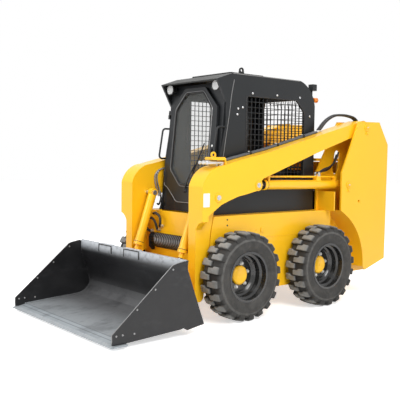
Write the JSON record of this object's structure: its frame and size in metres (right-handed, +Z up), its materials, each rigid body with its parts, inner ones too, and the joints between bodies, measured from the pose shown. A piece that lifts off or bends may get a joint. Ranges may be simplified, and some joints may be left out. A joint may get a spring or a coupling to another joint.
{
  "type": "skid steer loader",
  "caption": "Four-wheel skid steer loader with boxed lift arms on rear towers, a smooth-lipped bucket on a tilting coupler and a guarded cab.",
  "frame": {"origin": "on the ground under the middle of the machine's length and width", "axes": "+X to the machine's left, +Y to its rear, +Z up"},
  "size_m": [1.7, 3.558, 2.2589],
  "materials": {
    "body_yellow": "gloss",
    "cab_black": "satin",
    "bucket_black": "satin",
    "edge_steel": "worn",
    "pin_steel": "satin",
    "rod_chrome": "polished",
    "tyre_rubber": "matt",
    "rim_black": "gloss",
    "engine_iron": "rough",
    "clear_glass": "clear",
    "lamp_glass": "clear lens",
    "seat_cloth": "grained vinyl",
    "hose_rubber": "matt",
    "amber_lens": "clear lens"
  },
  "bodies": {
    "chassis": {"beacons": "amber_lens", "cab_front": "cab_black", "cab_rear": "cab_black", "cab_roof": "cab_black", "cab_side_left": "cab_black", "cab_side_right": "cab_black", "chassis_frame": "body_yellow", "control_levers": "cab_black", "engine_block": "engine_iron", "front_hoses": "hose_rubber", "front_step": "cab_black", "grab_handles": "cab_black", "mesh_guards": "cab_black", "seat_back": "seat_cloth", "seat_base": "cab_black", "seat_cushion": "seat_cloth", "tower_left": "body_yellow", "tower_pins": "pin_steel", "tower_right": "body_yellow", "work_lamps": "lamp_glass"},
    "lift_arm": {"arm_cross_tube": "body_yellow", "arm_hoses": "hose_rubber", "arm_left": "body_yellow", "arm_lines": "cab_black", "arm_pins": "pin_steel", "arm_right": "body_yellow", "quick_couplers": "pin_steel"},
    "bucket": {"bucket": "bucket_black", "coupler": "body_yellow", "cutting_edge": "edge_steel"},
    "front_door": {"door_glass": "clear_glass", "front_door": "cab_black"},
    "hood": {"hood": "body_yellow"},
    "wheel_front_left": {"hub_front_left": "body_yellow", "rim_front_left": "rim_black", "tyre_front_left": "tyre_rubber"},
    "wheel_front_right": {"hub_front_right": "body_yellow", "rim_front_right": "rim_black", "tyre_front_right": "tyre_rubber"},
    "wheel_rear_left": {"hub_rear_left": "body_yellow", "rim_rear_left": "rim_black", "tyre_rear_left": "tyre_rubber"},
    "wheel_rear_right": {"hub_rear_right": "body_yellow", "rim_rear_right": "rim_black", "tyre_rear_right": "tyre_rubber"},
    "lift_barrel_left": {"lift_barrel_left": "body_yellow", "lift_hoses_left": "hose_rubber"},
    "lift_barrel_right": {"lift_barrel_right": "body_yellow", "lift_hoses_right": "hose_rubber"},
    "lift_rod_left": {"lift_rod_left": "rod_chrome"},
    "lift_rod_right": {"lift_rod_right": "rod_chrome"},
    "rear_door": {"rear_door": "body_yellow"},
    "tilt_barrel_left": {"tilt_barrel_left": "body_yellow"},
    "tilt_barrel_right": {"tilt_barrel_right": "body_yellow"},
    "tilt_rod_left": {"tilt_rod_left": "rod_chrome"},
    "tilt_rod_right": {"tilt_rod_right": "rod_chrome"}
  },
  "joints": [
    {"name": "lift", "type": "hinge", "parent": "chassis", "child": "lift_arm", "pos_m": [0, 1.385, 1.743], "axis": [-1, 0, 0], "range_deg": [0, 60]},
    {"name": "tilt", "type": "hinge", "parent": "lift_arm", "child": "bucket", "pos_m": [0, -0.705, 0.225], "axis": [1, 0, 0], "range_deg": [-28, 90]},
    {"name": "lift_barrel_left", "type": "hinge", "parent": "chassis", "child": "lift_barrel_left", "pos_m": [0.5275, 1.113, 1.161], "axis": [-1, 0, 0], "range_deg": [0, 60]},
    {"name": "lift_rod_left", "type": "slide", "parent": "lift_barrel_left", "child": "lift_rod_left", "axis": [0, -0.9999, 0.0106], "range_m": [0, 0.6454]},
    {"name": "tilt_barrel_left", "type": "hinge", "parent": "lift_arm", "child": "tilt_barrel_left", "pos_m": [0.338, -0.579, 1.075], "axis": [1, 0, 0], "range_deg": [-3, 3]},
    {"name": "tilt_rod_left", "type": "slide", "parent": "tilt_barrel_left", "child": "tilt_rod_left", "axis": [0, -0.3225, -0.9466], "range_m": [-0.0795, 0.2445]},
    {"name": "lift_barrel_right", "type": "hinge", "parent": "chassis", "child": "lift_barrel_right", "pos_m": [-0.5275, 1.113, 1.161], "axis": [-1, 0, 0], "range_deg": [0, 60]},
    {"name": "lift_rod_right", "type": "slide", "parent": "lift_barrel_right", "child": "lift_rod_right", "axis": [0, -0.9999, 0.0106], "range_m": [0, 0.6454]},
    {"name": "tilt_barrel_right", "type": "hinge", "parent": "lift_arm", "child": "tilt_barrel_right", "pos_m": [-0.338, -0.579, 1.075], "axis": [1, 0, 0], "range_deg": [-3, 3]},
    {"name": "tilt_rod_right", "type": "slide", "parent": "tilt_barrel_right", "child": "tilt_rod_right", "axis": [0, -0.3225, -0.9466], "range_m": [-0.0795, 0.2445]},
    {"name": "roll_front_left", "type": "hinge", "parent": "chassis", "child": "wheel_front_left", "pos_m": [0.6625, -0.339, 0.39], "axis": [1, 0, 0], "continuous": true},
    {"name": "roll_front_right", "type": "hinge", "parent": "chassis", "child": "wheel_front_right", "pos_m": [-0.6625, -0.339, 0.39], "axis": [1, 0, 0], "continuous": true},
    {"name": "roll_rear_left", "type": "hinge", "parent": "chassis", "child": "wheel_rear_left", "pos_m": [0.6625, 0.711, 0.39], "axis": [1, 0, 0], "continuous": true},
    {"name": "roll_rear_right", "type": "hinge", "parent": "chassis", "child": "wheel_rear_right", "pos_m": [-0.6625, 0.711, 0.39], "axis": [1, 0, 0], "continuous": true},
    {"name": "front_door_swing", "type": "hinge", "parent": "chassis", "child": "front_door", "pos_m": [-0.375, -0.44888, 0.9074], "axis": [0, -0.0958, -0.9954], "range_deg": [0, 52]},
    {"name": "rear_door_swing", "type": "hinge", "parent": "chassis", "child": "rear_door", "pos_m": [-0.4, 1.772, 0.9], "axis": [0, 0, 1], "range_deg": [0, 90]},
    {"name": "hood_lift", "type": "hinge", "parent": "chassis", "child": "hood", "pos_m": [0, 0.917, 1.432], "axis": [1, 0, 0], "range_deg": [0, 60]}
  ],
  "couplings": [
    {"joint": "lift_barrel_left", "follows": "lift", "ratio": 0.9681},
    {"joint": "lift_rod_left", "follows": "lift", "m_per_rad": 0.6116},
    {"joint": "tilt_barrel_left", "follows": "tilt", "ratio": -0.02},
    {"joint": "tilt_rod_left", "follows": "tilt", "m_per_rad": 0.1525},
    {"joint": "lift_barrel_right", "follows": "lift", "ratio": 0.9681},
    {"joint": "lift_rod_right", "follows": "lift", "m_per_rad": 0.6116},
    {"joint": "tilt_barrel_right", "follows": "tilt", "ratio": -0.02},
    {"joint": "tilt_rod_right", "follows": "tilt", "m_per_rad": 0.1525}
  ]
}
